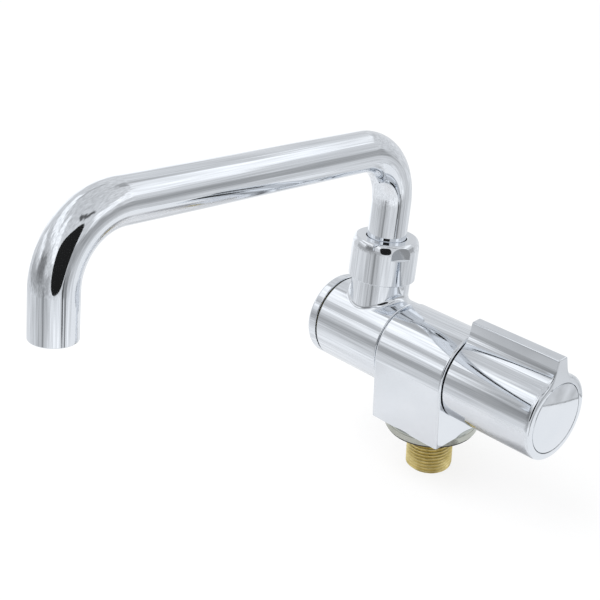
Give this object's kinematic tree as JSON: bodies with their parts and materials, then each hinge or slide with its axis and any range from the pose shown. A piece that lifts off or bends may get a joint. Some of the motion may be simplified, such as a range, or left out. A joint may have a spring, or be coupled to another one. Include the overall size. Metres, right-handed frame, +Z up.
{
  "type": "folding tap",
  "caption": "Chrome folding tap for a small sink: a block on a threaded inlet, a sleeve that folds down round the barrel, a swivelling bent spout and a knob with a lever fin.",
  "frame": {"origin": "on the inlet shank's axis, at the deck that the gasket rests on", "axes": "+X along the barrel towards the knob, -Y the side that the spout reaches over, +Z up"},
  "size_m": [0.1007, 0.1619, 0.1342],
  "materials": {
    "chrome": "polished plating",
    "brass": "as machined",
    "rubber": "matt",
    "slide_plastic": "natural acetal",
    "ceramic": "lapped",
    "steel": "plain"
  },
  "bodies": {
    "tap_body": {"body_casting": "chrome", "base_flange": "chrome", "deck_gasket": "rubber", "inlet_nipple": "brass", "nipple_seal": "rubber", "fold_spindle": "brass", "fold_seals": "rubber", "inner_washer": "slide_plastic", "outer_washer": "slide_plastic", "spindle_screw": "brass", "end_cap": "chrome", "headwork": "brass", "headwork_seal": "rubber", "seat_seal": "rubber", "fixed_disc": "ceramic"},
    "fold_arm": {"fold_sleeve": "chrome", "union_nut": "chrome", "slide_ring": "slide_plastic"},
    "spout": {"spout_tube": "chrome", "spout_tail": "brass", "spout_seals": "rubber"},
    "handle": {"knob": "chrome", "knob_disc": "chrome", "knob_screw": "steel", "valve_stem": "brass", "stem_seal": "rubber", "stem_clip": "steel", "moving_disc": "ceramic"}
  },
  "joints": [
    {"name": "spout_fold", "type": "hinge", "parent": "tap_body", "child": "fold_arm", "pos_m": [-0.0295, 0, 0.0261], "axis": [1, 0, 0], "range_deg": [-83, 97]},
    {"name": "spout_swivel", "type": "hinge", "parent": "fold_arm", "child": "spout", "pos_m": [-0.0295, 0, 0.0261], "axis": [0, 0.1219, 0.9925], "continuous": true},
    {"name": "knob_turn", "type": "hinge", "parent": "tap_body", "child": "handle", "pos_m": [0, 0, 0.0261], "axis": [1, 0, 0], "range_deg": [0, 90]}
  ]
}
